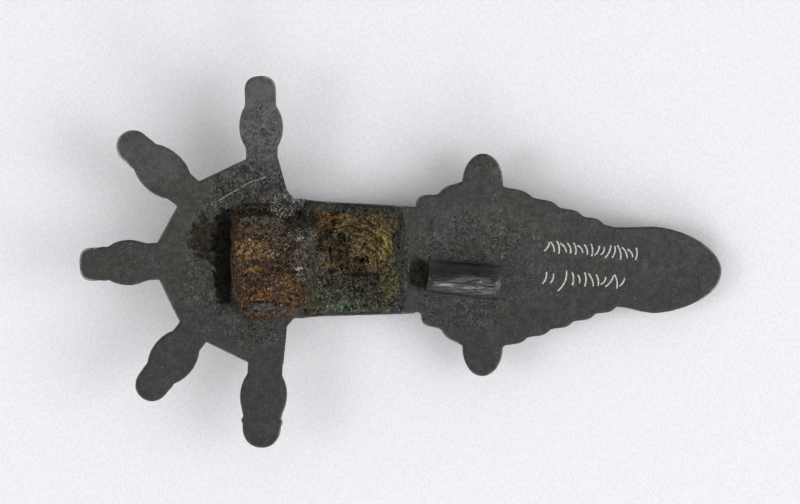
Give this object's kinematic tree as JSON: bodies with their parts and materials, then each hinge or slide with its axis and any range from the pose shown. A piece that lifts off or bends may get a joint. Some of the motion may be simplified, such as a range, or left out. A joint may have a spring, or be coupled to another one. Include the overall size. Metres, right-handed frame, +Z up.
{
  "type": "radiate-headed bow brooch",
  "caption": "Cast bow brooch lying on its face: fan-shaped head plate with radiating knobs, arched bow, scalloped foot plate with side lobes and oval end, rusted spring and curled catch.",
  "frame": {"origin": "on the resting plane, under the middle of the brooch's box", "axes": "+X from the head to the foot, +Z up out of the flat back, the brooch lying on its face"},
  "size_m": [0.0878, 0.0508, 0.0145],
  "materials": {
    "bronze_patina": "dark grey-green patina, smooth, slightly glossy, with fine pits and scratches",
    "spring_rust": "rough brown and orange iron rust",
    "bow_rust": "rough ochre-brown crust with green patches"
  },
  "bodies": {
    "root": {"brooch_body": "bronze_patina", "spring_remains": "spring_rust", "bow_crust": "bow_rust"}
  },
  "joints": []
}
